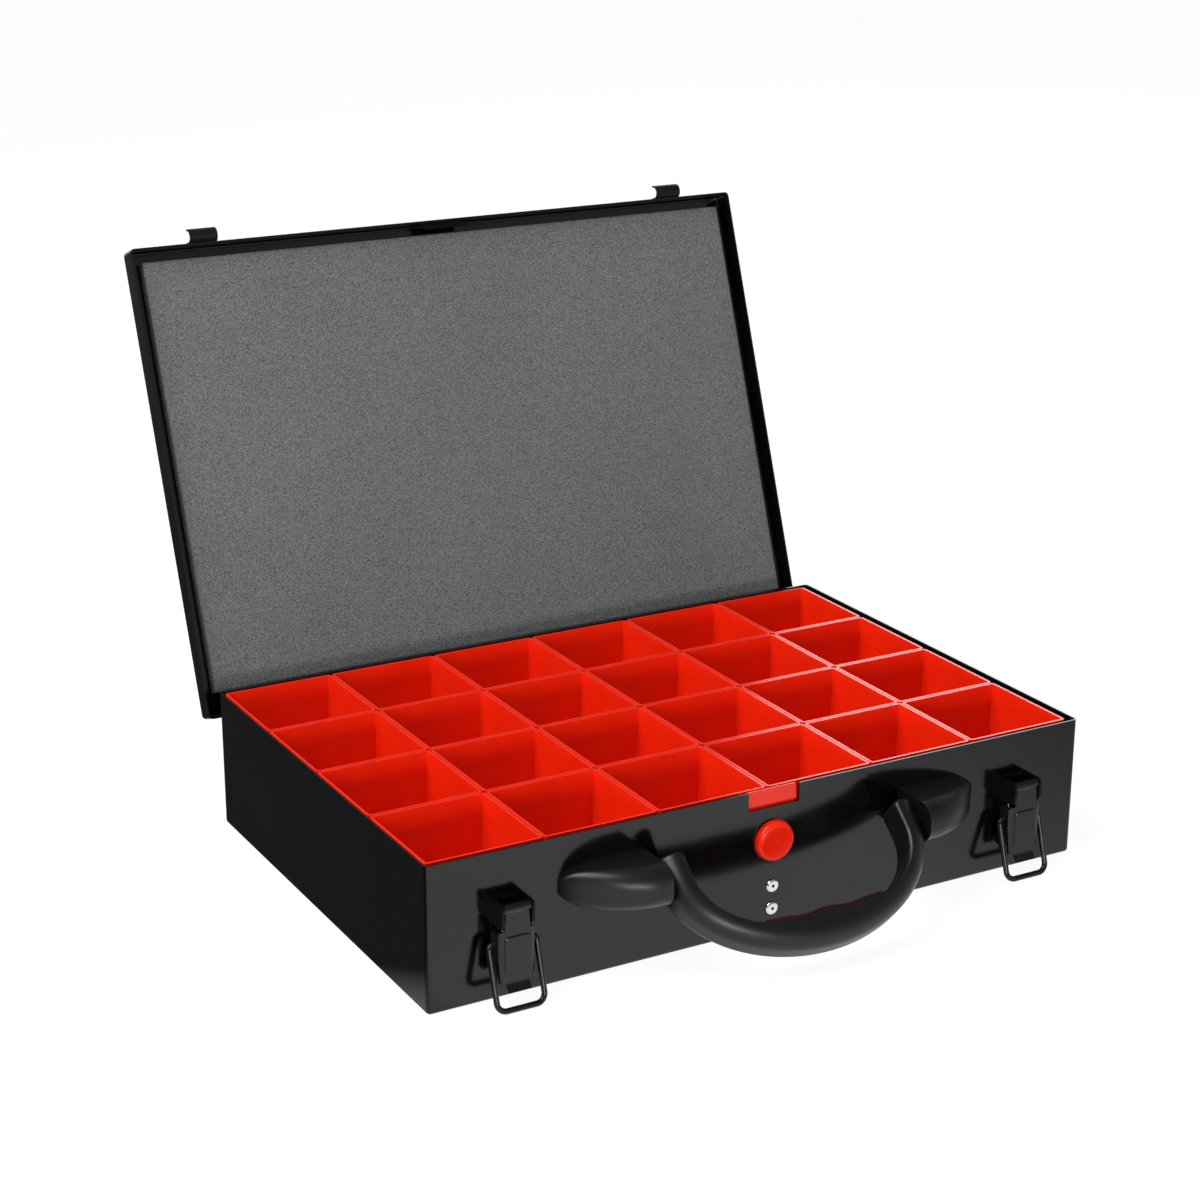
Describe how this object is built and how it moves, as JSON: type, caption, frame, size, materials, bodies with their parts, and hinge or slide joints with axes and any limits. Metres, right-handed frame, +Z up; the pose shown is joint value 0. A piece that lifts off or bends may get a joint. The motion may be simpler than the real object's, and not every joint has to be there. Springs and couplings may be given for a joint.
{
  "type": "organizer case",
  "caption": "Flat sheet-steel carrying case with a hinged foam-lined lid, lift-out open bins, toggle latches, a push-button lock and a folding bow handle.",
  "frame": {"origin": "centre of the base tray's underside", "axes": "+X to the right seen from the handle side, +Y towards the hinges, +Z up"},
  "size_m": [0.3384, 0.3767, 0.2711],
  "materials": {
    "case_steel": "satin black powder coat",
    "lid_foam": "grey speckled foam",
    "black_plastic": "satin black plastic",
    "grip_plastic": "fine-grained black plastic",
    "keeper_steel": "black painted steel",
    "latch_black": "gloss black",
    "bail_wire": "black coated wire",
    "bright_steel": "bright plated",
    "red_plastic": "gloss red moulded plastic",
    "soft_red": "soft red grip strip"
  },
  "bodies": {
    "base": {"base_tray": "case_steel", "handle_bracket_left": "black_plastic", "handle_bracket_right": "black_plastic", "bracket_screws": "bright_steel", "handle_pins": "bright_steel", "latch_rivets": "bright_steel", "lock_rivets": "bright_steel", "lock_spring": "bright_steel", "hinge_left_base_leaf": "keeper_steel", "hinge_left_pin": "bright_steel", "latch_left_base": "latch_black", "latch_left_pin": "bright_steel", "hinge_right_base_leaf": "keeper_steel", "hinge_right_pin": "bright_steel", "latch_right_base": "latch_black", "latch_right_pin": "bright_steel"},
    "lid": {"lid_shell": "case_steel", "lid_foam": "lid_foam", "lid_strike": "black_plastic", "keeper_left": "keeper_steel", "keeper_right": "keeper_steel", "hinge_left_lid_leaf": "keeper_steel", "hinge_right_lid_leaf": "keeper_steel"},
    "handle": {"handle_grip": "grip_plastic", "handle_inlay": "soft_red"},
    "latch_left_lever": {"latch_left_lever": "latch_black"},
    "latch_left_bail": {"latch_left_bail": "bail_wire"},
    "latch_right_lever": {"latch_right_lever": "latch_black"},
    "latch_right_bail": {"latch_right_bail": "bail_wire"},
    "lock": {"lock_button": "red_plastic", "lock_tongue": "red_plastic"},
    "bin_r1_c1": {"bin_r1_c1": "red_plastic"},
    "bin_r1_c2": {"bin_r1_c2": "red_plastic"},
    "bin_r1_c3": {"bin_r1_c3": "red_plastic"},
    "bin_r1_c4": {"bin_r1_c4": "red_plastic"},
    "bin_r1_c5": {"bin_r1_c5": "red_plastic"},
    "bin_r1_c6": {"bin_r1_c6": "red_plastic"},
    "bin_r2_c1": {"bin_r2_c1": "red_plastic"},
    "bin_r2_c2": {"bin_r2_c2": "red_plastic"},
    "bin_r2_c3": {"bin_r2_c3": "red_plastic"},
    "bin_r2_c4": {"bin_r2_c4": "red_plastic"},
    "bin_r2_c5": {"bin_r2_c5": "red_plastic"},
    "bin_r2_c6": {"bin_r2_c6": "red_plastic"},
    "bin_r3_c1": {"bin_r3_c1": "red_plastic"},
    "bin_r3_c2": {"bin_r3_c2": "red_plastic"},
    "bin_r3_c3": {"bin_r3_c3": "red_plastic"},
    "bin_r3_c4": {"bin_r3_c4": "red_plastic"},
    "bin_r3_c5": {"bin_r3_c5": "red_plastic"},
    "bin_r3_c6": {"bin_r3_c6": "red_plastic"},
    "bin_r4_c1": {"bin_r4_c1": "red_plastic"},
    "bin_r4_c2": {"bin_r4_c2": "red_plastic"},
    "bin_r4_c3": {"bin_r4_c3": "red_plastic"},
    "bin_r4_c4": {"bin_r4_c4": "red_plastic"},
    "bin_r4_c5": {"bin_r4_c5": "red_plastic"},
    "bin_r4_c6": {"bin_r4_c6": "red_plastic"}
  },
  "joints": [
    {"name": "lid_hinge", "type": "hinge", "parent": "base", "child": "lid", "pos_m": [0, 0.11663, 0.0493], "axis": [-1, 0, 0], "range_deg": [-109.9, 0], "deforming": ["lid_foam"]},
    {"name": "handle_pivot", "type": "hinge", "parent": "base", "child": "handle", "pos_m": [0, -0.12688, 0.0444], "axis": [-1, 0, 0], "range_deg": [-23, 42]},
    {"name": "lock_press", "type": "slide", "parent": "base", "child": "lock", "axis": [0, 1, 0], "range_m": [0, 0.0009], "stiffness_N_per_m": 4000, "deforming": ["lock_spring"]},
    {"name": "latch_left_lever_pivot", "type": "hinge", "parent": "base", "child": "latch_left_lever", "pos_m": [-0.1315, -0.12178, 0.0448], "axis": [-1, 0, 0], "range_deg": [0, 100]},
    {"name": "latch_left_bail_pivot", "type": "hinge", "parent": "latch_left_lever", "child": "latch_left_bail", "pos_m": [-0.1315, -0.11848, 0.0285], "axis": [1, 0, 0], "range_deg": [-162.29, 0]},
    {"name": "latch_right_lever_pivot", "type": "hinge", "parent": "base", "child": "latch_right_lever", "pos_m": [0.1315, -0.12178, 0.0448], "axis": [-1, 0, 0], "range_deg": [0, 100]},
    {"name": "latch_right_bail_pivot", "type": "hinge", "parent": "latch_right_lever", "child": "latch_right_bail", "pos_m": [0.1315, -0.11848, 0.0285], "axis": [1, 0, 0], "range_deg": [-162.29, 0]},
    {"name": "bin_r1_c1_lift", "type": "slide", "parent": "base", "child": "bin_r1_c1", "axis": [0, 0, 1], "range_m": [0, 0.075]},
    {"name": "bin_r1_c2_lift", "type": "slide", "parent": "base", "child": "bin_r1_c2", "axis": [0, 0, 1], "range_m": [0, 0.075]},
    {"name": "bin_r1_c3_lift", "type": "slide", "parent": "base", "child": "bin_r1_c3", "axis": [0, 0, 1], "range_m": [0, 0.075]},
    {"name": "bin_r1_c4_lift", "type": "slide", "parent": "base", "child": "bin_r1_c4", "axis": [0, 0, 1], "range_m": [0, 0.075]},
    {"name": "bin_r1_c5_lift", "type": "slide", "parent": "base", "child": "bin_r1_c5", "axis": [0, 0, 1], "range_m": [0, 0.075]},
    {"name": "bin_r1_c6_lift", "type": "slide", "parent": "base", "child": "bin_r1_c6", "axis": [0, 0, 1], "range_m": [0, 0.075]},
    {"name": "bin_r2_c1_lift", "type": "slide", "parent": "base", "child": "bin_r2_c1", "axis": [0, 0, 1], "range_m": [0, 0.075]},
    {"name": "bin_r2_c2_lift", "type": "slide", "parent": "base", "child": "bin_r2_c2", "axis": [0, 0, 1], "range_m": [0, 0.075]},
    {"name": "bin_r2_c3_lift", "type": "slide", "parent": "base", "child": "bin_r2_c3", "axis": [0, 0, 1], "range_m": [0, 0.075]},
    {"name": "bin_r2_c4_lift", "type": "slide", "parent": "base", "child": "bin_r2_c4", "axis": [0, 0, 1], "range_m": [0, 0.075]},
    {"name": "bin_r2_c5_lift", "type": "slide", "parent": "base", "child": "bin_r2_c5", "axis": [0, 0, 1], "range_m": [0, 0.075]},
    {"name": "bin_r2_c6_lift", "type": "slide", "parent": "base", "child": "bin_r2_c6", "axis": [0, 0, 1], "range_m": [0, 0.075]},
    {"name": "bin_r3_c1_lift", "type": "slide", "parent": "base", "child": "bin_r3_c1", "axis": [0, 0, 1], "range_m": [0, 0.075]},
    {"name": "bin_r3_c2_lift", "type": "slide", "parent": "base", "child": "bin_r3_c2", "axis": [0, 0, 1], "range_m": [0, 0.075]},
    {"name": "bin_r3_c3_lift", "type": "slide", "parent": "base", "child": "bin_r3_c3", "axis": [0, 0, 1], "range_m": [0, 0.075]},
    {"name": "bin_r3_c4_lift", "type": "slide", "parent": "base", "child": "bin_r3_c4", "axis": [0, 0, 1], "range_m": [0, 0.075]},
    {"name": "bin_r3_c5_lift", "type": "slide", "parent": "base", "child": "bin_r3_c5", "axis": [0, 0, 1], "range_m": [0, 0.075]},
    {"name": "bin_r3_c6_lift", "type": "slide", "parent": "base", "child": "bin_r3_c6", "axis": [0, 0, 1], "range_m": [0, 0.075]},
    {"name": "bin_r4_c1_lift", "type": "slide", "parent": "base", "child": "bin_r4_c1", "axis": [0, 0, 1], "range_m": [0, 0.075]},
    {"name": "bin_r4_c2_lift", "type": "slide", "parent": "base", "child": "bin_r4_c2", "axis": [0, 0, 1], "range_m": [0, 0.075]},
    {"name": "bin_r4_c3_lift", "type": "slide", "parent": "base", "child": "bin_r4_c3", "axis": [0, 0, 1], "range_m": [0, 0.075]},
    {"name": "bin_r4_c4_lift", "type": "slide", "parent": "base", "child": "bin_r4_c4", "axis": [0, 0, 1], "range_m": [0, 0.075]},
    {"name": "bin_r4_c5_lift", "type": "slide", "parent": "base", "child": "bin_r4_c5", "axis": [0, 0, 1], "range_m": [0, 0.075]},
    {"name": "bin_r4_c6_lift", "type": "slide", "parent": "base", "child": "bin_r4_c6", "axis": [0, 0, 1], "range_m": [0, 0.075]}
  ]
}
